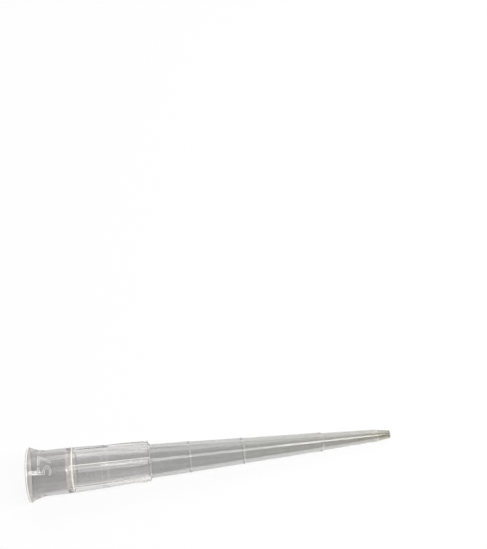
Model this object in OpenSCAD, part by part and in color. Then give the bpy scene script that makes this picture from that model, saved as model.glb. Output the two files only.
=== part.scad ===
// Disposable pipette tip for volumes up to 200 microlitres.
//
// One clear moulding: a flared mouth, a plain band, a tapered collar with six ribs, and a slender
// body that narrows in steps to a short end cone. The beads and the step on the body mark about
// 100, 50 and 10 microlitres. The tip lies as it comes to rest on a table, mouth towards -X and
// point towards +X, with the origin under the middle of its outline. Sizes are in millimetres.

/* [Overall] */
// Length along the axis, from the mouth's rim to the end of the point
tip_length = 51; // [46:0.1:64]
// Outer diameter of the flared lip
lip_diameter = 7.45; // [7:0.01:9.5]

/* [Mouth] */
// Thickness of the lip, which is rounded all the way over
lip_thickness = 0.3; // [0.2:0.02:0.36]
// Angle between the flare's outer face and the axis, at the lip
flare_angle = 33; // [16:1:40]
// Angle between the lead-in cone inside the mouth and the axis
lead_in_angle = 28; // [20:1:45]
// Radius that blends the flare into the band
flare_blend = 3.7; // [0.5:0.1:5]
// Outer diameter of the plain band behind the flare
band_diameter = 6.14; // [5.8:0.02:6.6]
// Distance from the rim to the end of the band
band_length = 5.75; // [5:0.05:7]
// Wall of the band where the lead-in cone ends
mouth_wall = 0.37; // [0.3:0.01:0.5]
// Wall of the band where the seat's entry cone begins
band_wall = 0.41; // [0.3:0.01:0.5]

/* [Nozzle seat] */
// Bore that grips the pipette's nozzle
seat_diameter = 4.9; // [4.05:0.01:5]
// Length of that bore
seat_length = 4; // [2:0.1:5]
// Distance from the rim to the start of that bore
seat_depth = 5.75; // [4.5:0.05:6.5]
// Length of the cone that leads into it
seat_entry = 0.65; // [0.2:0.05:1]
// Length of the cone that leads out of it
seat_exit = 0.8; // [0.2:0.05:1.2]
// How far the bore steps in over the exit cone
seat_exit_step = 0.14; // [0.05:0.01:0.25]

/* [Collar] */
// Distance from the rim to the collar's end
collar_length = 16.15; // [13.4:0.01:16.4]
// Outer diameter at the collar's end, between the ribs
collar_end_diameter = 5.34; // [5:0.02:5.8]
// Length of the sloping shoulder from the collar to the body
shoulder_length = 0.22; // [0.1:0.02:0.4]

/* [Ribs] */
// Number of ribs around the collar
rib_count = 6; // [6:2:12]
// Width of a rib
rib_width = 0.62; // [0.4:0.01:0.9]
// Diameter over the ribs at the collar's end
rib_end_diameter = 6; // [5.9:0.02:6.4]
// Diameter over the ribs at the band's end, where they are lowest
rib_top_diameter = 6.18; // [6.16:0.02:6.6]
// Distance from the rim to where the ribs have sunk into the band
rib_start = 2.6; // [2.4:0.1:4]
// Rounding of a rib's long edges
rib_edge_round = 0.1; // [0.04:0.01:0.18]
// Rounding of a rib's end
rib_end_round = 0.2; // [0.1:0.01:0.28]

/* [Body] */
// Outer diameter at the body's root, beside the shoulder
root_diameter = 4.62; // [4.4:0.02:4.9]
// Distance from the point to the 100 microlitre mark
mark_100_height = 29.25; // [27:0.05:30]
// Outer diameter on the mouth side of the 100 microlitre mark
mark_100_diameter = 4.28; // [4:0.02:4.4]
// Distance from the point to the 50 microlitre mark
mark_50_height = 21.7; // [19:0.05:25]
// Outer diameter on the mouth side of the 50 microlitre mark
mark_50_diameter = 3.62; // [3.3:0.02:3.9]
// Distance from the point to the 10 microlitre mark
mark_10_height = 10.2; // [8:0.05:13]
// Outer diameter on the mouth side of the 10 microlitre mark
mark_10_diameter = 2.72; // [2.4:0.02:3]
// Distance from the point to the small step above the end cone
end_cone_height = 1.97; // [1.4:0.01:3]
// Outer diameter on the mouth side of that step
end_cone_diameter = 1.79; // [1.6:0.01:2]
// Outer diameter at the point
point_diameter = 1.12; // [0.9:0.01:1.4]
// Rounding of the point's outer edge
point_round = 0.05; // [0.02:0.01:0.1]

/* [Marks and steps] */
// How far the body steps in at the 100 microlitre mark
mark_100_step = 0.02; // [0.01:0.01:0.06]
// How far it steps in at the 50 microlitre mark
mark_50_step = 0.045; // [0.01:0.005:0.08]
// How far it steps in at the 10 microlitre mark
mark_10_step = 0.117; // [0.04:0.001:0.16]
// How far it steps in above the end cone
end_cone_step = 0.067; // [0.02:0.001:0.1]
// How far the moulded beads at 50 and 100 microlitres stand up
bead_height = 0.05; // [0.02:0.01:0.1]
// Width of a bead, and of the slope at each plain step
bead_width = 0.2; // [0.12:0.01:0.3]

/* [Body walls] */
// Wall at the body's root
root_wall = 0.41; // [0.3:0.01:0.5]
// Wall on the mouth side of the 10, 50 and 100 microlitre marks
shaft_wall = 0.54; // [0.4:0.01:0.62]
// Wall on the mouth side of the small step above the end cone
end_wall = 0.45; // [0.35:0.01:0.55]
// Diameter of the hole in the point
orifice_diameter = 0.46; // [0.3:0.01:0.6]

/* [Hidden] */

$fn = 120;
arc_steps = 12;
clear_plastic = [0.76, 0.77, 0.76];
// How far the shape that rounds a rib's end stays outside the rib's long outer face
rib_trim_gap = 0.01;
// How far the rib's buried end lies under the band's surface
rib_sink = 0.04;

// Places on the body, as distances from the rim
mark_100_at = tip_length - mark_100_height;
mark_50_at = tip_length - mark_50_height;
mark_10_at = tip_length - mark_10_height;
end_cone_at = tip_length - end_cone_height;

band_radius = band_diameter / 2;
collar_end_radius = collar_end_diameter / 2;
seat_radius = seat_diameter / 2;
root_bore_radius = root_diameter / 2 - root_wall;

// The wall's section is an outline of [radius, distance from the rim]. Where it is round it
// follows arcs, each given by its centre and the angles that it runs between.
function arc(centre, radius, from, to) = [
    for (i = [0 : arc_steps])
        let (angle = from + (to - from) * i / arc_steps)
        centre + radius * [cos(angle), sin(angle)]
];

// The lip, from the lead-in cone over the rim to the flare
lip_round = lip_thickness / 2;
lip_centre_radius = lip_diameter / 2 - lip_round;
lip_arc = arc([lip_centre_radius, lip_round], lip_round, 180 + lead_in_angle, 360 + flare_angle);
lead_in_start = lip_arc[0];
flare_start = lip_arc[arc_steps];

// The blend from the flare into the band, no longer than the flare itself
flare_drop = flare_start[0] - band_radius;
flare_end_at = flare_start[1] + flare_drop / tan(flare_angle);
blend_radius = min(flare_blend, flare_drop / sin(flare_angle) / tan(flare_angle / 2) * 0.95);
blend_end_at = flare_end_at + blend_radius * tan(flare_angle / 2);
blend_arc = arc([band_radius + blend_radius, blend_end_at], blend_radius, 180 + flare_angle, 180);

// A moulded bead around the body, with the small step that goes with it
function bead(radius, at, step) = [
    [radius, at - bead_width / 2],
    [radius + bead_height, at - bead_width / 4],
    [radius + bead_height, at + bead_width / 4],
    [radius - step, at + bead_width / 2]
];

// A plain step in the body
function slope(radius, at, step) = [
    [radius, at - bead_width / 2],
    [radius - step, at + bead_width / 2]
];

// The point's outer edge, tangent to the end cone and to the flat end
end_cone_top = end_cone_diameter / 2 - end_cone_step;
end_cone_angle = atan2(end_cone_top - point_diameter / 2, end_cone_height - bead_width / 2);
point_centre_radius = point_diameter / 2
    + point_round * (tan(end_cone_angle) - 1 / cos(end_cone_angle));
point_arc = arc([point_centre_radius, tip_length - point_round], point_round, end_cone_angle, 90);

outer_outline = concat(
    lip_arc,
    blend_arc,
    [
        [band_radius, band_length],
        [collar_end_radius, collar_length],
        [root_diameter / 2, collar_length + shoulder_length]
    ],
    bead(mark_100_diameter / 2, mark_100_at, mark_100_step),
    bead(mark_50_diameter / 2, mark_50_at, mark_50_step),
    slope(mark_10_diameter / 2, mark_10_at, mark_10_step),
    slope(end_cone_diameter / 2, end_cone_at, end_cone_step),
    point_arc
);

lead_in_radius = band_radius - mouth_wall;
lead_in_end_at = lead_in_start[1] + (lead_in_start[0] - lead_in_radius) / tan(lead_in_angle);
bore_outline = [
    [orifice_diameter / 2, tip_length],
    [end_cone_diameter / 2 - end_wall, end_cone_at],
    [mark_10_diameter / 2 - shaft_wall, mark_10_at],
    [mark_50_diameter / 2 - shaft_wall, mark_50_at],
    [mark_100_diameter / 2 - shaft_wall, mark_100_at],
    [root_bore_radius, collar_length],
    [seat_radius - seat_exit_step, seat_depth + seat_length + seat_exit],
    [seat_radius, seat_depth + seat_length],
    [seat_radius, seat_depth],
    [band_radius - band_wall, seat_depth - seat_entry],
    [lead_in_radius, lead_in_end_at]
];

// The ribs
rib_pitch = 360 / rib_count;
rib_top_radius = rib_top_diameter / 2;
rib_end_radius = rib_end_diameter / 2;
rib_taper = atan2(rib_top_radius - rib_end_radius, collar_length - band_length);
rib_root_start = band_radius - mouth_wall / 2;
rib_root_end = (collar_end_radius + root_bore_radius) / 2;

// How the tip comes to rest. Its centre of mass lies beyond the collar, so it rests on the lip or
// on the ends of the two lowest ribs, and on one of the edges near the point. Each of these
// touches the table with an edge: [radius of the edge's centre, distance from the rim, rounding].
lip_edge = [lip_centre_radius, lip_round, lip_round];
rib_edge = [
    (rib_end_radius - rib_edge_round) * cos(rib_pitch / 2)
        + (rib_width / 2 - rib_edge_round) * sin(rib_pitch / 2),
    collar_length - rib_end_round,
    rib_edge_round
];
mark_10_edge = [mark_10_diameter / 2, mark_10_at - bead_width / 2, 0];
end_cone_edge = [end_cone_diameter / 2, end_cone_at - bead_width / 2, 0];
point_edge = [point_centre_radius, tip_length - point_round, point_round];
rear_edges = [lip_edge, rib_edge];
front_edges = [mark_10_edge, end_cone_edge, point_edge];

// Tilt of the axis at which a rear edge and a front edge touch the table together
function tilt_on(rear, front) =
    let (drop = rear[0] - front[0], run = front[1] - rear[1])
    atan2(drop, run) + asin((rear[2] - front[2]) / norm([drop, run]));

rest_tilt = max([
    for (rear = rear_edges)
        min([for (front = front_edges) tilt_on(rear, front)])
]);

// How far an edge reaches below the rim's centre once the tip is tilted
function depth_of(edge) = edge[1] * sin(rest_tilt) + edge[0] * cos(rest_tilt) + edge[2];

// Height of the rim's centre over the table, and its place along it with the outline centred
mouth_height = max([for (edge = concat(rear_edges, front_edges)) depth_of(edge)]);
rear_reach = lip_edge[1] * cos(rest_tilt) - lip_edge[0] * sin(rest_tilt) - lip_edge[2];
front_reach = point_edge[1] * cos(rest_tilt) + point_edge[0] * sin(rest_tilt) + point_edge[2];
mouth_place = -(rear_reach + front_reach) / 2;

// The moulding without its ribs, upright, with the rim at the bottom
module wall() {
    rotate_extrude()
        polygon(concat(outer_outline, bore_outline));
}

// A rib from the side: it rises from the band, runs along the collar and ends in a round corner
module rib_side() {
    trim_radius = rib_end_radius + rib_trim_gap;
    corner = [trim_radius - rib_end_round, collar_length - rib_end_round];
    rotate([90, 0, 0])
        linear_extrude(rib_width * 2, center = true)
            polygon(concat(
                [
                    [rib_root_start, rib_start],
                    [band_radius - rib_sink, rib_start],
                    [rib_top_radius + rib_trim_gap, band_length]
                ],
                arc(corner, rib_end_round, 0, 90),
                [[rib_root_end, collar_length]]
            ));
}

// A bar with round outer edges that gives a rib its width and its outer face
module rib_bar() {
    depth = rib_top_radius;
    length = collar_length;
    edge = rib_width / 2 - rib_edge_round;
    translate([rib_end_radius, 0, collar_length])
        rotate([0, -rib_taper, 0])
            translate([0, 0, -length])
                linear_extrude(length * 2) {
                    translate([-depth, -edge])
                        square([depth, edge * 2]);
                    translate([-depth, -rib_width / 2])
                        square([depth - rib_edge_round, rib_width]);
                    for (side = [-1, 1])
                        translate([-rib_edge_round, side * edge])
                            circle(rib_edge_round);
                }
}

module rib() {
    intersection() {
        rib_side();
        rib_bar();
    }
}

module pipette_tip() {
    color(clear_plastic)
        translate([mouth_place, 0, mouth_height])
            rotate([0, 90 + rest_tilt, 0]) {
                wall();
                for (i = [0 : rib_count - 1])
                    rotate([0, 0, (i + 0.5) * rib_pitch])
                        rib();
            }
}

pipette_tip();
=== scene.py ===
"""Looks of a clear pipette tip that lies on a table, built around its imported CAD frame."""

import logging
import math
from dataclasses import dataclass, field
from enum import Enum

import bmesh
import bpy
from mathutils import Euler, Matrix, Vector
from mathutils.bvhtree import BVHTree


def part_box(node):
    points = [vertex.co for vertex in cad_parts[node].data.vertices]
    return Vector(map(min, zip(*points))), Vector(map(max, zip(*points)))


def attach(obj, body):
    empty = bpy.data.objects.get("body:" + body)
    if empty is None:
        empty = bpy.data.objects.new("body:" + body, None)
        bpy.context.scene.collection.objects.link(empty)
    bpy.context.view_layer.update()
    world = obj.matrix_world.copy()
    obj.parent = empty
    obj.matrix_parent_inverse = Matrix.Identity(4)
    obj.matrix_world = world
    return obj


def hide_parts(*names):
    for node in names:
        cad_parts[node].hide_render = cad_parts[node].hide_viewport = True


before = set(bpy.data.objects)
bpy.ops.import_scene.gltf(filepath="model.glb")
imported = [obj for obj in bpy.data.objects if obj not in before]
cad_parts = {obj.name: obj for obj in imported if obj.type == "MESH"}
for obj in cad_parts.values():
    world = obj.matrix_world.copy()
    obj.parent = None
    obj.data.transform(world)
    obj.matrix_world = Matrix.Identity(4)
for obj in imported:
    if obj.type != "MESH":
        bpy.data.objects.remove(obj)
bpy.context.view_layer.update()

MM = 0.001
WELD = 0.0005  # vertices closer than this, in millimetres, become one
FINE_WELD = 0.0002  # the same after the number is welded on, where faces are smaller
SPLIT_GAP = 0.002  # a split this close to a vertex, in millimetres, uses the vertex
NODE = "pipette_tip"
log = logging.getLogger("pipette_tip")

Colour = tuple[float, float, float]


class Skin(Enum):
    """The material slots of the tip's mesh: the wall, the ribs, a painted highlight and a
    fainter painted highlight.
    """

    WALL = 0
    RIB = 1
    PAINTED_HIGHLIGHT = 2
    FAINT_PAINTED_HIGHLIGHT = 3


@dataclass(frozen=True)
class Ring:
    """A narrow ring of the wall's surface with a skin of its own, a painted highlight, in
    millimetres.

    Attributes:
        start: Where it begins, from the rim.
        end: Where it ends.
        outside: Whether it is on the outer surface rather than in the bore.
        skin: The material slot that it gets.
    """

    start: float
    end: float
    outside: bool
    skin: Skin = Skin.PAINTED_HIGHLIGHT

    def holds(self, reach: float, outside: bool) -> bool:
        """Tells whether a face at this reach, outside or in the bore, is in the ring."""
        return outside == self.outside and self.start < reach < self.end


@dataclass(frozen=True)
class Corner:
    """A corner of the wall's section, in millimetres.

    Attributes:
        radius: Distance from the axis.
        reach: Distance from the rim, along the axis.
        rounding: Radius of the round that replaces the corner, or 0 for a sharp one.
    """

    radius: float
    reach: float
    rounding: float = 0.0


@dataclass(frozen=True)
class Mouth:
    """Sizes of the flared mouth and of the band behind it, in millimetres."""

    lip_radius: float = 3.725
    lip_thickness: float = 0.3
    # Painted highlight: the lip's round up to this reach gets the near-white slot.
    lip_highlight: float = 0.25
    lip_fullness: float = 0.98
    flare_angle: float = math.radians(33)
    flare_blend: float = 3.7
    lead_in_angle: float = math.radians(28)
    band_radius: float = 3.07
    band_end: float = 5.75
    # Painted highlight: a ring at these distances past the band's end.
    band_highlight: tuple[float, float] = (0.08, 0.26)
    lead_in_radius: float = 2.7
    band_bore_radius: float = 2.66

    def outer(self) -> list[Corner]:
        """Returns the outer corners, from the rim to where the band is straight."""
        half = self.lip_thickness / 2
        rounding = half * self.lip_fullness
        turn = half + half * math.tan(self.flare_angle / 2)
        end = turn + (self.lip_radius - self.band_radius) / math.tan(self.flare_angle)
        return [
            Corner(self.lip_radius, 0.0, rounding),
            Corner(self.lip_radius, turn, rounding),
            Corner(self.band_radius, end, self.flare_blend),
        ]

    def inner(self) -> list[Corner]:
        """Returns the inner corners, from the lead-in cone's end to the rim."""
        half = self.lip_thickness / 2
        slope = math.tan(self.lead_in_angle)
        start_radius = self.lip_radius - half - half * math.cos(self.lead_in_angle)
        start_reach = half - half * math.sin(self.lead_in_angle)
        end = start_reach + (start_radius - self.lead_in_radius) / slope
        return [
            Corner(self.lead_in_radius, end, 0.6),
            Corner(start_radius + start_reach * slope, 0.0, half * self.lip_fullness),
        ]

    def rings(self) -> list[Ring]:
        """Returns the rings of painted highlight on the lip's round and at the band's end."""
        near, far = (self.band_end + edge for edge in self.band_highlight)
        return [Ring(-1.0, self.lip_highlight, True), Ring(near, far, True)]


@dataclass(frozen=True)
class Seat:
    """Sizes of the bore that grips the nozzle, in millimetres."""

    radius: float = 2.45
    start: float = 5.75
    length: float = 4.0
    entry: float = 0.65
    exit: float = 0.8
    exit_radius: float = 2.31
    # Faint painted highlights: one ring over the entry cone reaching this far past it, and
    # narrow rings of the next half-width at the cone's start and the bore's ends.
    entry_highlight: float = 0.16
    highlight_half_width: float = 0.035

    def inner(self, band_bore_radius: float) -> list[Corner]:
        """Returns the bore's corners, from the exit cone back to the entry cone.

        Args:
            band_bore_radius: Radius of the bore in the band, where the entry cone begins.

        Returns:
            The corners, the one furthest from the rim first.
        """
        end = self.start + self.length
        return [
            Corner(self.exit_radius, end + self.exit, 0.4),
            Corner(self.radius, end, 0.25),
            Corner(self.radius, self.start, 0.06),
            Corner(band_bore_radius, self.start - self.entry, 0.3),
        ]

    def rings(self) -> list[Ring]:
        """Returns the rings of faint painted highlight over the entry cone and at the ends of
        the bore.
        """
        end = self.start + self.length
        rings = [Ring(self.start - self.entry, self.start + self.entry_highlight, False, Skin.FAINT_PAINTED_HIGHLIGHT)]
        for reach in (self.start - self.entry, end, end + self.exit):
            rings.append(Ring(reach - self.highlight_half_width, reach + self.highlight_half_width, False, Skin.FAINT_PAINTED_HIGHLIGHT))
        return rings


@dataclass(frozen=True)
class Ribs:
    """Sizes of the ribs around the collar, in millimetres.

    Attributes:
        count: Number of ribs.
        columns: Number of the wall's columns of faces that a rib covers.
        start: Where a rib begins, from the rim.
        top_at: Where it is highest.
        top_radius: Radius of its outer face there.
        end_radius: Radius of its outer face at the collar's end.
        edge: Width of its rounded edges.
        first_step: How much of its height its sides reach below the rounded edges.
        bright: Where around the axis the rib edges that face the front lamps get a painted
            highlight.
        reach_of_light: How far around the axis an edge may be from such a place.
    """

    count: int = 6
    columns: int = 6
    start: float = 2.6
    top_at: float = 5.75
    top_radius: float = 3.09
    end_radius: float = 3.0
    edge: float = 0.1
    first_step: float = 0.6
    bright: tuple[float, ...] = (math.radians(204), math.radians(264), math.radians(276))
    reach_of_light: float = math.radians(5)

    def radius_at(self, reach: float, wall_radius: float, end: float) -> float:
        """Gives the radius of a rib's outer face.

        Args:
            reach: Distance from the rim.
            wall_radius: Radius of the wall there, between the ribs.
            end: Distance from the rim to the collar's end.

        Returns:
            The radius, which is the wall's own where the rib begins.
        """
        if reach <= self.top_at:
            share = (reach - self.start) / (self.top_at - self.start)
            return wall_radius + share * max(0.0, self.top_radius - wall_radius)
        share = (reach - self.top_at) / (end - self.top_at)
        return self.top_radius + share * (self.end_radius - self.top_radius)


@dataclass(frozen=True)
class Mark:
    """A volume mark around the body, in millimetres.

    Attributes:
        reach: Distance from the rim.
        radius: Outer radius on the mouth side.
        bore: Radius of the bore.
        step: How far the outer radius steps in.
        bead: How far a bead stands up there, or 0 for a plain step.
        step_round: Radius of the rounds of a plain step.
        foot_round: Radius of the rounds where a bead meets the wall.
        crest_round: Radius of the rounds on top of a bead.
    """

    reach: float
    radius: float
    bore: float
    step: float
    bead: float = 0.0
    step_round: float = 0.05
    foot_round: float = 0.03
    crest_round: float = 0.06

    def outer(self, width: float) -> list[Corner]:
        """Returns the corners of the bead or the step, which is width wide."""
        before, after = self.reach - width / 2, self.reach + width / 2
        if not self.bead:
            return [
                Corner(self.radius, before, self.step_round),
                Corner(self.radius - self.step, after, self.step_round),
            ]
        crest = self.radius + self.bead
        return [
            Corner(self.radius, before, self.foot_round),
            Corner(crest, self.reach - width / 4, self.crest_round),
            Corner(crest, self.reach + width / 4, self.crest_round),
            Corner(self.radius - self.step, after, self.foot_round),
        ]


@dataclass(frozen=True)
class Body:
    """Sizes of the collar's end, the stepped body and the point, in millimetres."""

    collar_end: float = 16.15
    collar_end_radius: float = 2.67
    shoulder: float = 0.22
    root_radius: float = 2.31
    root_bore: float = 1.9
    mark_width: float = 0.2
    # Faint painted highlights: rings at these distances about the collar's end and about each
    # mark.
    collar_highlight: tuple[float, float] = (-0.04, 0.02)
    mark_highlight: tuple[float, float] = (-0.1, 0.05)
    length: float = 51.0
    point_radius: float = 0.56
    orifice_radius: float = 0.23
    marks: tuple[Mark, ...] = (
        Mark(21.75, 2.14, 1.6, 0.02, 0.05),
        Mark(29.3, 1.81, 1.27, 0.045, 0.05),
        Mark(40.8, 1.36, 0.82, 0.117),
        Mark(49.03, 0.895, 0.445, 0.067),
    )

    def rings(self) -> list[Ring]:
        """Returns the rings of faint painted highlight at the collar's end and at the marks.
        """
        near, far = (self.collar_end + edge for edge in self.collar_highlight)
        rings = [Ring(near, far, True, Skin.FAINT_PAINTED_HIGHLIGHT)]
        for mark in self.marks:
            near, far = (mark.reach + edge for edge in self.mark_highlight)
            rings.append(Ring(near, far, True, Skin.FAINT_PAINTED_HIGHLIGHT))
        return rings

    def outer(self) -> list[Corner]:
        """Returns the outer corners, from the collar's end to the point."""
        corners = [
            Corner(self.collar_end_radius, self.collar_end, 0.05),
            Corner(self.root_radius, self.collar_end + self.shoulder, 0.06),
        ]
        for mark in self.marks:
            corners += mark.outer(self.mark_width)
        return corners + [Corner(self.point_radius, self.length, 0.05)]

    def inner(self) -> list[Corner]:
        """Returns the bore's corners, from the point back to the collar's end."""
        corners = [Corner(self.orifice_radius, self.length, 0.03)]
        corners += [Corner(mark.bore, mark.reach) for mark in reversed(self.marks)]
        return corners + [Corner(self.root_bore, self.collar_end)]


@dataclass(frozen=True)
class MouldedNumber:
    """The cavity number that stands up on the band, in millimetres.

    Attributes:
        text: The number.
        height: Height of its digits, along the tip.
        spread: How much wider than the font the digits are.
        spacing: Space between the digits, as a share of the font's.
        middle: Distance from the rim to its middle.
        angle: Where its middle is around the axis.
        relief: How far it stands up from the band.
        root: How deep it sinks into the band.
        edge: Width of the outline of its face, which gets a painted highlight.
        slice: Width of the slices that let it bend round the band.
    """

    text: str = "57"
    height: float = 1.72
    spread: float = 1.3
    spacing: float = 0.86
    middle: float = 2.42
    angle: float = math.radians(195.1)
    relief: float = 0.06
    root: float = 0.08
    edge: float = 0.045
    slice: float = 0.21

    def letters(self) -> bmesh.types.BMesh:
        """Returns the number as a thin closed solid, as the font has it."""
        curve = bpy.data.curves.new("number", "FONT")
        curve.body = self.text
        curve.extrude = 0.1
        curve.resolution_u = 4
        curve.space_character = self.spacing
        writer = bpy.data.objects.new("number", curve)
        bpy.context.scene.collection.objects.link(writer)
        data = bpy.data.meshes.new_from_object(writer)
        bpy.data.objects.remove(writer)
        mesh = bmesh.new()
        mesh.from_mesh(data)
        bpy.data.meshes.remove(data)
        bmesh.ops.remove_doubles(mesh, verts=mesh.verts[:], dist=1e-5)
        bmesh.ops.recalc_face_normals(mesh, faces=mesh.faces[:])
        return mesh

    def flat(self) -> bmesh.types.BMesh:
        """Makes the number as a flat solid of the right size, with the outline of its face
        given a painted highlight.

        Returns:
            A closed mesh about the origin, cut into slices so that it can bend.
        """
        mesh = self.letters()
        low = Vector(min(v.co[axis] for v in mesh.verts) for axis in range(3))
        high = Vector(max(v.co[axis] for v in mesh.verts) for axis in range(3))
        scale = self.height / (high.y - low.y)
        thick = (self.relief + self.root) / (high.z - low.z)
        lift = Vector((0.0, 0.0, (self.relief - self.root) / 2))
        bmesh.ops.translate(mesh, verts=mesh.verts[:], vec=-(low + high) / 2)
        bmesh.ops.scale(mesh, verts=mesh.verts[:], vec=(scale * self.spread, scale, thick))
        bmesh.ops.translate(mesh, verts=mesh.verts[:], vec=lift)
        tops = [face for face in mesh.faces if face.normal.z > 0.9]
        outline = bmesh.ops.inset_region(
            mesh, faces=tops, thickness=self.edge, use_even_offset=True
        )["faces"]
        # Painted highlight on the outline of the digits' faces.
        for face in outline:
            face.material_index = Skin.PAINTED_HIGHLIGHT.value
        self.cut(mesh, 0)
        self.cut(mesh, 1)
        return mesh

    def cut(self, mesh: bmesh.types.BMesh, axis: int) -> None:
        """Cuts the flat number into slices across one axis.

        Args:
            mesh: The flat number.
            axis: The index of the axis.
        """
        reach = max(abs(vert.co[axis]) for vert in mesh.verts)
        steps = math.floor(reach / self.slice)
        for step in range(-steps, steps + 1):
            place, normal = Vector(), Vector()
            place[axis], normal[axis] = step * self.slice, 1.0
            bmesh.ops.bisect_plane(
                mesh,
                geom=mesh.verts[:] + mesh.edges[:] + mesh.faces[:],
                dist=1e-4,
                plane_co=place,
                plane_no=normal,
            )

    def wrapped(self, wall: bmesh.types.BMesh, radius: float) -> bmesh.types.BMesh:
        """Bends the number round the upright wall.

        Args:
            wall: The upright wall.
            radius: Radius of the band.

        Returns:
            The number as a closed mesh, whose root is sunk into the wall.
        """
        surface = BVHTree.FromBMesh(wall)
        mesh = self.flat()
        for vert in mesh.verts:
            across, up, out = vert.co
            angle = self.angle - across / radius
            ray = Vector((math.cos(angle), math.sin(angle), 0.0))
            start = Vector((0.0, 0.0, self.middle - up)) + ray * 2 * radius
            vert.co = surface.ray_cast(start, -ray)[0] + ray * out
        bmesh.ops.recalc_face_normals(mesh, faces=mesh.faces[:])
        return mesh


class Wiring:
    """A node tree, with short ways to add nodes and to join them.

    Attributes:
        tree: The node tree.
    """

    def __init__(self, tree: bpy.types.NodeTree) -> None:
        """Keeps the tree."""
        self.tree = tree

    def feed(self, socket: bpy.types.NodeSocket, value: object) -> None:
        """Joins a socket to an input, or sets the input to a plain value."""
        if isinstance(value, bpy.types.NodeSocket):
            self.tree.links.new(value, socket)
        else:
            socket.default_value = value

    def node(self, kind: str, **inputs: object) -> bpy.types.Node:
        """Adds a node and sets or joins its inputs.

        Args:
            kind: The node's type.
            **inputs: The value or the socket for each input, by the input's name.

        Returns:
            The new node.
        """
        made = self.tree.nodes.new(kind)
        for name, value in inputs.items():
            self.feed(made.inputs[name], value)
        return made

    def math(self, operation: str, first: object, second: object) -> bpy.types.NodeSocket:
        """Adds a Math node.

        Args:
            operation: What it does.
            first: The first value or socket.
            second: The second value or socket.

        Returns:
            The socket with the result.
        """
        made = self.node("ShaderNodeMath")
        made.operation = operation
        self.feed(made.inputs[0], first)
        self.feed(made.inputs[1], second)
        return made.outputs[0]

    def scaled(self, colour: object, share: object) -> bpy.types.NodeSocket:
        """Adds a node that makes a colour lighter or darker.

        Args:
            colour: The socket with the colour.
            share: What the colour is multiplied by.

        Returns:
            The socket with the result.
        """
        made = self.node("ShaderNodeVectorMath")
        made.operation = "SCALE"
        self.feed(made.inputs["Vector"], colour)
        self.feed(made.inputs["Scale"], share)
        return made.outputs["Vector"]

    def upright(self, place: Matrix) -> bpy.types.NodeSocket:
        """Adds nodes that give the place on the upright tip.

        Args:
            place: The matrix that takes the upright tip to its place on the table.

        Returns:
            The socket with the place in millimetres, whose Z runs from the rim to the point.
        """
        shift, turn, scale = place.inverted().decompose()
        source = self.node("ShaderNodeTexCoord")
        turned = self.node(
            "ShaderNodeMapping",
            Vector=source.outputs["Object"],
            Location=shift,
            Rotation=turn.to_euler(),
            Scale=scale,
        )
        return turned.outputs["Vector"]


@dataclass(frozen=True)
class MouldedHaze:
    """The unevenness that the whole moulding has: fine grain and lines along it.

    Attributes:
        name: The node group's name.
        grain: How many grains there are in a millimetre.
        lines: How many lines there are in a millimetre.
        stretch: How much slower a line changes along the tip than across it.
    """

    name: str = "moulded_haze"
    grain: float = 4.0
    lines: float = 1.6
    stretch: float = 0.05

    def group(self, place: Matrix) -> bpy.types.NodeTree:
        """Builds the node group once, or finds it.

        Args:
            place: The matrix that takes the upright tip to its place on the table.

        Returns:
            The group, which turns a tint into a colour, a roughness and a height.
        """
        if self.name in bpy.data.node_groups:
            return bpy.data.node_groups[self.name]
        tree = bpy.data.node_groups.new(self.name, "ShaderNodeTree")
        face = tree.interface
        face.new_socket("Tint", in_out="INPUT", socket_type="NodeSocketColor")
        face.new_socket("Mottle", in_out="INPUT", socket_type="NodeSocketFloat")
        face.new_socket("Roughness", in_out="INPUT", socket_type="NodeSocketFloat")
        face.new_socket("Color", in_out="OUTPUT", socket_type="NodeSocketColor")
        face.new_socket("Roughness", in_out="OUTPUT", socket_type="NodeSocketFloat")
        face.new_socket("Height", in_out="OUTPUT", socket_type="NodeSocketFloat")
        self.fill(Wiring(tree), place)
        return tree

    def fill(self, wiring: Wiring, place: Matrix) -> None:
        """Adds the group's nodes.

        Args:
            wiring: The group's wiring.
            place: The matrix that takes the upright tip to its place on the table.
        """
        entry = wiring.node("NodeGroupInput").outputs
        where = wiring.upright(place)
        grain = wiring.node("ShaderNodeTexNoise", Vector=where, Scale=self.grain, Detail=3.0)
        drawn = wiring.node("ShaderNodeMapping", Vector=where, Scale=(1.0, 1.0, self.stretch))
        along = drawn.outputs["Vector"]
        lines = wiring.node("ShaderNodeTexNoise", Vector=along, Scale=self.lines, Detail=2.0)
        both = wiring.math("ADD", grain.outputs["Fac"], lines.outputs["Fac"])
        swing = wiring.math("SUBTRACT", both, 1.0)
        share = wiring.math("ADD", wiring.math("MULTIPLY", swing, entry["Mottle"]), 1.0)
        colour = wiring.scaled(entry["Tint"], share)
        rough = wiring.math("MULTIPLY", entry["Roughness"], both)
        wiring.node("NodeGroupOutput", Color=colour, Roughness=rough, Height=both)


@dataclass(frozen=True)
class Shade:
    """A tint at a distance from the rim.

    Attributes:
        reach: The distance, in millimetres.
        tint: The tint there, the plastic's own grey or, in places, painted shade or painted
            light.
        glow: How much lighter it is painted there where it is seen edge on, a painted
            highlight along the outline.
    """

    reach: float
    tint: Colour
    glow: float = 0.0


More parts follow.
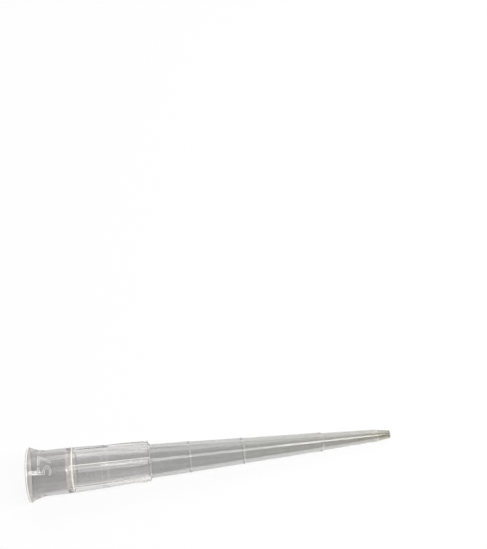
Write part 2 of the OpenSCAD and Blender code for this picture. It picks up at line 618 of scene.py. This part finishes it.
@dataclass(frozen=True)
class ClearPlastic:
    """Clear polypropylene, a little grey and hazy, whose tints carry painted shade and painted
    highlights in places.

    Attributes:
        name: The material's name.
        shades: Its tints along the tip, in order.
        roughness: Roughness of its surface.
        clearness: How much of the light goes through rather than scatters.
        mottle: How uneven its tint is.
        ior: Index of refraction.
        bump: Height of its grain, in metres.
    """

    name: str
    shades: tuple[Shade, ...]
    roughness: float = 0.12
    clearness: float = 1.0
    mottle: float = 0.45
    ior: float = 1.49
    bump: float = 0.002 * MM

    def material(self, place: Matrix, length: float) -> bpy.types.Material:
        """Builds the material.

        Args:
            place: The matrix that takes the upright tip to its place.
            length: The tip's length, in millimetres.

        Returns:
            The new material, with all its nodes.
        """
        made = bpy.data.materials.new(self.name)
        made.use_nodes = True
        wiring = Wiring(made.node_tree)
        haze = wiring.node("ShaderNodeGroup")
        haze.node_tree = MouldedHaze().group(place)
        wiring.feed(haze.inputs["Tint"], self.tint(wiring, place, length))
        wiring.feed(haze.inputs["Mottle"], self.mottle)
        wiring.feed(haze.inputs["Roughness"], self.roughness)
        bump = wiring.node("ShaderNodeBump", Height=haze.outputs["Height"], Distance=self.bump)
        inputs = made.node_tree.nodes["Principled BSDF"].inputs
        wiring.feed(inputs["Transmission Weight"], self.clearness)
        wiring.feed(inputs["IOR"], self.ior)
        wiring.feed(inputs["Base Color"], haze.outputs["Color"])
        wiring.feed(inputs["Roughness"], haze.outputs["Roughness"])
        wiring.feed(inputs["Normal"], bump.outputs["Normal"])
        return made

    def tint(self, wiring: Wiring, place: Matrix, length: float) -> bpy.types.NodeSocket:
        """Adds the nodes that give the tint along the tip.

        Args:
            wiring: The material's wiring.
            place: The matrix that takes the upright tip to its place on the table.
            length: The tip's length, in millimetres.

        Returns:
            The socket with the tint.
        """
        split = wiring.node("ShaderNodeSeparateXYZ", Vector=wiring.upright(place))
        share = wiring.math("DIVIDE", split.outputs["Z"], length)
        ramp = wiring.node("ShaderNodeValToRGB", Fac=share)
        stops = ramp.color_ramp.elements
        while len(stops) < len(self.shades):
            stops.new(1.0)
        for stop, shade in zip(stops, self.shades):
            stop.position = shade.reach / length
            stop.color = (*shade.tint, shade.glow)
        # Painted highlight: the tint is lightened where the surface is seen edge on, by each
        # shade's glow.
        facing = wiring.node("ShaderNodeLayerWeight", Blend=0.5).outputs["Facing"]
        glow = wiring.math("MULTIPLY", facing, ramp.outputs["Alpha"])
        return wiring.scaled(ramp.outputs["Color"], wiring.math("ADD", glow, 1.0))


WALL_FINISH = ClearPlastic(
    "clear_wall",
    (
        # Painted shade: darker tints just behind the lip.
        Shade(0.27, (0.4, 0.39, 0.38), 0.9),
        Shade(0.42, (0.44, 0.43, 0.42), 0.9),
        Shade(0.62, (0.52, 0.508, 0.5), 0.8),
        Shade(1.2, (0.55, 0.54, 0.535), 0.4),
        Shade(1.8, (0.575, 0.57, 0.567), 0.2),
        Shade(4.9, (0.585, 0.575, 0.574), 0.25),
        # Painted shade: darker, pinkish tints over the bore's entry cone.
        Shade(5.15, (0.52, 0.49, 0.485), 0.8),
        Shade(5.65, (0.51, 0.485, 0.48), 0.8),
        Shade(5.9, (0.585, 0.58, 0.578), 0.85),
        Shade(16.1, (0.585, 0.58, 0.575), 0.85),
        Shade(16.2, (0.58, 0.582, 0.574), 0.15),
        Shade(29.0, (0.576, 0.578, 0.564), 0.15),
        Shade(38.0, (0.572, 0.572, 0.553), 0.15),
        Shade(45.0, (0.566, 0.56, 0.53), 0.1),
        Shade(48.9, (0.56, 0.55, 0.51)),
        Shade(49.2, (0.49, 0.48, 0.42)),
        Shade(51.0, (0.43, 0.42, 0.35)),
    ),
)
# Painted light: the ribs, and the bore under them, are tinted lighter than the wall.
RIB_FINISH = ClearPlastic(
    "clear_rib_painted_light",
    (
        Shade(2.6, (0.6, 0.59, 0.59)),
        Shade(5.2, (0.72, 0.705, 0.705)),
        Shade(5.8, (0.9, 0.885, 0.88)),
        Shade(51.0, (0.9, 0.885, 0.875)),
    ),
    mottle=0.1,
)
# Painted highlight: a near-white finish that mostly scatters, on the lip's round, the band's
# end, the rib edges facing the front lamps and the number's outline.
PAINTED_HIGHLIGHT_FINISH = ClearPlastic(
    "painted_highlight",
    (Shade(0.0, (1.0, 0.97, 0.91)), Shade(51.0, (0.98, 0.97, 0.92))),
    roughness=0.3,
    clearness=0.2,
    mottle=0.05,
)
# Fainter painted highlight: a near-white clear tint on the rings over the bore's cones and
# ends, at the collar's end and at the marks.
FAINT_HIGHLIGHT_FINISH = ClearPlastic(
    "faint_painted_highlight",
    (Shade(0.0, (1.0, 0.98, 0.96)), Shade(51.0, (0.98, 0.97, 0.92))),
    clearness=0.85,
    mottle=0.05,
)


@dataclass
class PipetteTip:
    """The whole tip, one clear moulding, built upright in millimetres and then laid down.

    Attributes:
        turns: Number of faces around the axis.
        sharp: Angle beyond which an edge isn't smoothed.
        hold: Width of the narrow faces that keep the shading of corners to themselves.
    """

    mouth: Mouth = field(default_factory=Mouth)
    seat: Seat = field(default_factory=Seat)
    ribs: Ribs = field(default_factory=Ribs)
    body: Body = field(default_factory=Body)
    number: MouldedNumber = field(default_factory=MouldedNumber)
    turns: int = 180
    sharp: float = math.radians(12)
    hold: float = 0.25

    def section(self) -> list[Corner]:
        """Returns the corners of the wall's section, all the way round it."""
        end = self.mouth.band_end
        return (
            self.mouth.outer()
            + [Corner(self.wall_radius(end), end)]
            + self.body.outer()
            + self.body.inner()
            + self.seat.inner(self.mouth.band_bore_radius)
            + self.mouth.inner()
        )

    def rings(self) -> list[Ring]:
        """Returns all the rings of painted highlight, bright and faint."""
        return self.mouth.rings() + self.seat.rings() + self.body.rings()

    def wall_radius(self, reach: float) -> float:
        """Returns the outer radius of the band or the collar between the ribs, at a reach."""
        start, end = self.mouth.band_end, self.body.collar_end
        share = max(0.0, reach - start) / (end - start)
        drop = self.mouth.band_radius - self.body.collar_end_radius
        return self.mouth.band_radius - share * drop

    def wall(self) -> bmesh.types.BMesh:
        """Spins the section into the wall, with the rim's middle at the origin.

        Returns:
            A closed mesh.
        """
        corners = self.section()
        mesh = bmesh.new()
        points = [mesh.verts.new((corner.radius, 0.0, corner.reach)) for corner in corners]
        for here, following in zip(points, points[1:] + points[:1]):
            mesh.edges.new((here, following))
        self.round_corners(mesh, corners, points)
        self.split_section(mesh)
        bmesh.ops.spin(
            mesh,
            geom=mesh.verts[:] + mesh.edges[:],
            cent=(0.0, 0.0, 0.0),
            axis=(0.0, 0.0, 1.0),
            dvec=(0.0, 0.0, 0.0),
            angle=math.tau,
            steps=self.turns,
            use_merge=True,
            use_duplicate=False,
        )
        bmesh.ops.remove_doubles(mesh, verts=mesh.verts[:], dist=WELD)
        bmesh.ops.recalc_face_normals(mesh, faces=mesh.faces[:])
        return mesh

    def round_corners(
        self,
        mesh: bmesh.types.BMesh,
        corners: list[Corner],
        points: list[bmesh.types.BMVert],
    ) -> None:
        """Rounds the section's corners before it is spun.

        Args:
            mesh: The mesh that holds the section as a ring of edges.
            corners: The section's corners.
            points: The vertex of each corner.
        """
        jobs = []
        for index, corner in enumerate(corners):
            if not corner.rounding:
                continue
            before = points[index - 1].co - points[index].co
            after = points[(index + 1) % len(points)].co - points[index].co
            turn = math.pi - before.angle(after)
            tangent = corner.rounding * math.tan(turn / 2)
            jobs.append((points[index], tangent, max(2, round(math.degrees(turn) / 6))))
        for point, tangent, segments in jobs:
            bmesh.ops.bevel(
                mesh,
                geom=[point],
                offset=tangent,
                offset_type="OFFSET",
                segments=segments,
                profile=0.5,
                affect="VERTICES",
                material=-1,
                clamp_overlap=True,
            )

    def split_section(self, mesh: bmesh.types.BMesh) -> None:
        """Splits the section's edges where rings and ribs begin or end, and beside corners.

        The splits beside corners keep the shading of a corner off the long faces next to it.

        Args:
            mesh: The mesh that holds the section as a ring of edges.
        """
        reaches = {self.ribs.start, self.body.length - self.hold}
        for ring in self.rings():
            reaches |= {ring.start, ring.end, ring.start - self.hold, ring.end + self.hold}
        for reach in reaches:
            bmesh.ops.bisect_plane(
                mesh,
                geom=mesh.verts[:] + mesh.edges[:],
                dist=SPLIT_GAP,
                plane_co=(0.0, 0.0, reach),
                plane_no=(0.0, 0.0, 1.0),
            )

    def raise_ribs(self, mesh: bmesh.types.BMesh) -> None:
        """Raises the ribs from the wall's outer faces.

        Args:
            mesh: The upright wall.
        """
        pitch = math.tau / self.ribs.count
        for index in range(self.ribs.count):
            self.raise_rib(mesh, Matrix.Rotation(-(index + 0.5) * pitch, 3, "Z"))

    def raise_rib(self, mesh: bmesh.types.BMesh, turn: Matrix) -> None:
        """Raises one rib: a step up from the wall and a narrower one with its outer face.

        Args:
            mesh: The upright wall.
            turn: The turn that brings the rib to the X axis.
        """
        outer, bore = self.rib_faces(mesh, turn)
        before = set(mesh.faces)
        raised = bmesh.ops.extrude_face_region(mesh, geom=outer)["geom"]
        tops = [item for item in raised if isinstance(item, bmesh.types.BMFace)]
        sides = [face for face in mesh.faces if face not in before and face not in tops]
        bmesh.ops.delete(mesh, geom=outer, context="FACES")
        self.lift(tops, turn, self.ribs.first_step)
        edges = bmesh.ops.inset_region(
            mesh, faces=tops, thickness=self.ribs.edge, use_even_offset=True
        )["faces"]
        self.lift(tops, turn, 1.0)
        # The rib's faces get the rib slot, tinted lighter as painted light; edges facing the
        # front lamps then get a painted highlight.
        for face in tops + bore + sides + edges:
            face.material_index = Skin.RIB.value
        self.paint_rib_highlights(edges)

    def paint_rib_highlights(self, edges: list[bmesh.types.BMFace]) -> None:
        """Gives the rib edges that face the front lamps the painted highlight slot, along the
        collar.

        Args:
            edges: The faces of a rib's rounded edges.
        """
        for face in edges:
            middle = face.calc_center_median()
            angle = math.atan2(middle.y, middle.x) % math.tau
            caught = any(abs(angle - at) < self.ribs.reach_of_light for at in self.ribs.bright)
            if caught and middle.z > self.mouth.band_end - 0.1:
                face.material_index = Skin.PAINTED_HIGHLIGHT.value

    def rib_faces(
        self, mesh: bmesh.types.BMesh, turn: Matrix
    ) -> tuple[list[bmesh.types.BMFace], list[bmesh.types.BMFace]]:
        """Finds the faces that a rib stands on, and those of the bore under it.

        Args:
            mesh: The upright wall.
            turn: The turn that brings the rib to the X axis.

        Returns:
            The outer faces and the bore's faces.
        """
        half = math.pi / self.turns * self.ribs.columns
        outer, bore = [], []
        for face in mesh.faces:
            middle = turn @ face.calc_center_median()
            inside = self.ribs.start < middle.z < self.body.collar_end
            if inside and abs(math.atan2(middle.y, middle.x)) < half:
                (outer if (turn @ face.normal).x > 0 else bore).append(face)
        return outer, bore

    def lift(self, faces: list[bmesh.types.BMFace], turn: Matrix, share: float) -> None:
        """Moves faces out from the wall to a rib's flat outer face, or part of the way.

        Args:
            faces: The faces, which lie on the wall or above it.
            turn: The turn that brings the rib to the X axis.
            share: How much of the rib's height they get.
        """
        for vert in {vert for face in faces for vert in face.verts}:
            place = turn @ vert.co
            radius = self.wall_radius(place.z)
            if place.z > self.ribs.start + 0.001:
                rib = self.ribs.radius_at(place.z, radius, self.body.collar_end)
                across = math.atan2(place.y, place.x)
                radius += share * max(0.0, rib / math.cos(across) - radius)
            vert.co.xy = vert.co.xy.normalized() * radius

    def paint(self, mesh: bmesh.types.BMesh) -> None:
        """Gives the faces of the rings their painted highlight slots.

        Args:
            mesh: The upright wall.
        """
        rings = self.rings()
        for face in mesh.faces:
            middle = face.calc_center_median()
            outside = face.normal.dot(Vector((middle.x, middle.y, 0.0))) > 0
            for ring in rings:
                if ring.holds(middle.z, outside):
                    face.material_index = ring.skin.value

    def lie_down(self) -> Matrix:
        """Works out how the upright tip is laid down, from the frame's box.

        Returns:
            The matrix that takes the upright tip, in millimetres, to its place in metres.
        """
        half = self.mouth.lip_thickness / 2
        lip = Vector((self.mouth.lip_radius - half, half))
        end = self.body.marks[-1]
        edge = Vector((end.radius, end.reach - self.body.mark_width / 2))
        drop, run = lip.x - edge.x, edge.y - lip.y
        tilt = math.atan2(drop, run) + math.asin(half / math.hypot(drop, run))
        height = edge.y * math.sin(tilt) + edge.x * math.cos(tilt)
        rear = lip.y * math.cos(tilt) - lip.x * math.sin(tilt) - half
        shift = Matrix.Translation((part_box(NODE)[0].x - rear * MM, 0.0, height * MM))
        turn = Matrix.Rotation(math.pi / 2 + tilt, 4, "Y")
        return shift @ turn @ Matrix.Scale(MM, 4)

    def solid(self, mesh: bmesh.types.BMesh) -> bpy.types.Object:
        """Makes an object of a mesh, with an empty slot for every skin.

        Args:
            mesh: The mesh, which is freed.

        Returns:
            The object.
        """
        data = bpy.data.meshes.new(f"{NODE}_clear")
        mesh.to_mesh(data)
        mesh.free()
        for _skin in Skin:
            data.materials.append(None)
        made = bpy.data.objects.new(f"{NODE}_clear", data)
        bpy.context.scene.collection.objects.link(made)
        return made

    def welded(self, wall: bmesh.types.BMesh, number: bmesh.types.BMesh) -> bmesh.types.BMesh:
        """Welds the number to the wall, so that they are one closed solid.

        Args:
            wall: The upright tip, which is freed.
            number: The number in its place on it, which is freed.

        Returns:
            The mesh of both.
        """
        base, stamp = self.solid(wall), self.solid(number)
        union = base.modifiers.new("number", "BOOLEAN")
        union.operation = "UNION"
        union.solver = "EXACT"
        union.object = stamp
        graph = bpy.context.evaluated_depsgraph_get()
        data = bpy.data.meshes.new_from_object(base.evaluated_get(graph))
        mesh = bmesh.new()
        mesh.from_mesh(data)
        bpy.data.objects.remove(base)
        bpy.data.objects.remove(stamp)
        for spent in [old for old in bpy.data.meshes if not old.users]:
            bpy.data.meshes.remove(spent)
        bmesh.ops.remove_doubles(mesh, verts=mesh.verts[:], dist=FINE_WELD)
        bmesh.ops.dissolve_degenerate(mesh, edges=mesh.edges[:], dist=FINE_WELD)
        return mesh

    def build(self) -> bpy.types.Object:
        """Builds the tip, lays it down and dresses it.

        Returns:
            The finished object.
        """
        mesh = self.wall()
        self.raise_ribs(mesh)
        bmesh.ops.remove_doubles(mesh, verts=mesh.verts[:], dist=WELD)
        bmesh.ops.dissolve_degenerate(mesh, edges=mesh.edges[:], dist=0.0001)
        bmesh.ops.recalc_face_normals(mesh, faces=mesh.faces[:])
        self.paint(mesh)
        mesh = self.welded(mesh, self.number.wrapped(mesh, self.mouth.band_radius))
        open_edges = sum(1 for edge in mesh.edges if not edge.is_manifold)
        volume = mesh.calc_volume(signed=True)
        log.info("mesh: %d faces, %d open, %.1f mm3", len(mesh.faces), open_edges, volume)
        place = self.lie_down()
        mesh.transform(place)
        made = self.solid(mesh)
        finishes = (WALL_FINISH, RIB_FINISH, PAINTED_HIGHLIGHT_FINISH, FAINT_HIGHLIGHT_FINISH)
        for index, finish in enumerate(finishes):
            made.data.materials[index] = finish.material(place, self.body.length)
        for face in made.data.polygons:
            face.use_smooth = True
        made.data.set_sharp_from_angle(angle=self.sharp)
        return made


@dataclass(frozen=True)
class Lamp:
    """A soft rectangular lamp, in metres and watts.

    Attributes:
        name: Its name.
        place: Where its middle is.
        aim: The point that it faces.
        size: Its width and height.
        power: Its power.
    """

    name: str
    place: tuple[float, float, float]
    aim: tuple[float, float, float]
    size: tuple[float, float]
    power: float

    def build(self) -> None:
        """Adds the lamp to the scene."""
        data = bpy.data.lights.new(self.name, "AREA")
        data.shape = "RECTANGLE"
        data.size, data.size_y = self.size
        data.energy = self.power
        made = bpy.data.objects.new(self.name, data)
        made.location = self.place
        faced = Vector(self.aim) - Vector(self.place)
        made.rotation_euler = faced.to_track_quat("-Z", "Y").to_euler()
        bpy.context.scene.collection.objects.link(made)


@dataclass(frozen=True)
class Studio:
    """The table, the soft lights and the camera, in metres and degrees."""

    table_colour: Colour = (0.95, 0.95, 0.95)
    table_size: float = 2.0
    table_share: float = 0.9
    ambient: float = 0.25
    lamps: tuple[Lamp, ...] = (
        Lamp("front_fill", (0.085, -0.2, 0.36), (0.085, 0.0, 0.0), (0.11, 0.15), 0.23),
        Lamp("front_key", (0.31, -0.2, 0.36), (0.31, 0.0, 0.0), (0.34, 0.15), 1.5),
        Lamp("flare_light", (0.62, -0.2, 0.3), (0.0, 0.0, 0.0), (0.17, 0.1), 1.0),
        Lamp("back_softbox", (0.1, 0.23, 0.33), (0.0, 0.0, 0.0), (0.5, 0.2), 0.72),
    )
    camera_place: tuple[float, float, float] = (-0.00455, -0.05661, 0.08264)
    camera_turn: tuple[float, float, float] = (45.376, 0.758, -9.62)
    lens: float = 45.07
    shift: tuple[float, float] = (0.0, 0.1)

    def seen(self, wiring: Wiring) -> bpy.types.NodeSocket:
        """Adds nodes that are 1 for the rays that show the background, and 0 for others.

        Args:
            wiring: The wiring of the table's material or of the world.

        Returns:
            The socket with the value.
        """
        path = wiring.node("ShaderNodeLightPath").outputs
        direct = wiring.math("MAXIMUM", path["Is Camera Ray"], path["Is Glossy Ray"])
        return wiring.math("MAXIMUM", direct, path["Is Transmission Ray"])

    def table(self) -> None:
        """Builds the table as a large pale plane."""
        mesh = bmesh.new()
        bmesh.ops.create_grid(mesh, x_segments=1, y_segments=1, size=self.table_size / 2)
        data = bpy.data.meshes.new("table")
        mesh.to_mesh(data)
        mesh.free()
        made = bpy.data.objects.new("table", data)
        bpy.context.scene.collection.objects.link(made)
        data.materials.append(self.table_finish())

    def table_finish(self) -> bpy.types.Material:
        """Builds the table's pale finish, which looks white but for the tip's shadow.

        Returns:
            The material.
        """
        made = bpy.data.materials.new("table_white")
        made.use_nodes = True
        wiring = Wiring(made.node_tree)
        shader = made.node_tree.nodes["Principled BSDF"]
        wiring.feed(shader.inputs["Base Color"], (*self.table_colour, 1.0))
        wiring.feed(shader.inputs["Roughness"], 1.0)
        wiring.feed(shader.inputs["Specular IOR Level"], 0.0)
        share = wiring.math("MULTIPLY", self.seen(wiring), self.table_share)
        glow = wiring.node("ShaderNodeEmission")
        mix = wiring.node("ShaderNodeMixShader", Fac=share)
        wiring.feed(mix.inputs[1], shader.outputs["BSDF"])
        wiring.feed(mix.inputs[2], glow.outputs["Emission"])
        leave = made.node_tree.nodes["Material Output"]
        wiring.feed(leave.inputs["Surface"], mix.outputs["Shader"])
        return made

    def world(self) -> None:
        """Makes the world an even white that also lights the scene softly."""
        world = bpy.data.worlds.new("studio")
        bpy.context.scene.world = world
        world.use_nodes = True
        wiring = Wiring(world.node_tree)
        background = world.node_tree.nodes["Background"]
        wiring.feed(background.inputs["Color"], (1.0, 1.0, 1.0, 1.0))
        extra = wiring.math("MULTIPLY", self.seen(wiring), 1 - self.ambient)
        wiring.feed(background.inputs["Strength"], wiring.math("ADD", extra, self.ambient))

    def camera(self) -> None:
        """Adds the camera, above the table and a little in front of the tip."""
        data = bpy.data.cameras.new("camera")
        data.lens = self.lens
        data.shift_x, data.shift_y = self.shift
        data.clip_start = 0.001
        made = bpy.data.objects.new("camera", data)
        made.location = self.camera_place
        made.rotation_euler = Euler([math.radians(angle) for angle in self.camera_turn])
        bpy.context.scene.collection.objects.link(made)
        bpy.context.scene.camera = made

    def build(self) -> None:
        """Builds the whole studio."""
        bpy.context.scene.view_settings.view_transform = "Standard"
        self.world()
        self.table()
        for lamp in self.lamps:
            lamp.build()
        self.camera()


def main() -> None:
    """Builds the tip and the studio around it."""
    logging.basicConfig(level=logging.INFO, format="%(message)s")
    tip = PipetteTip().build()
    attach(tip, "root")
    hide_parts(NODE)
    Studio().build()


if __name__ == "__main__":
    main()
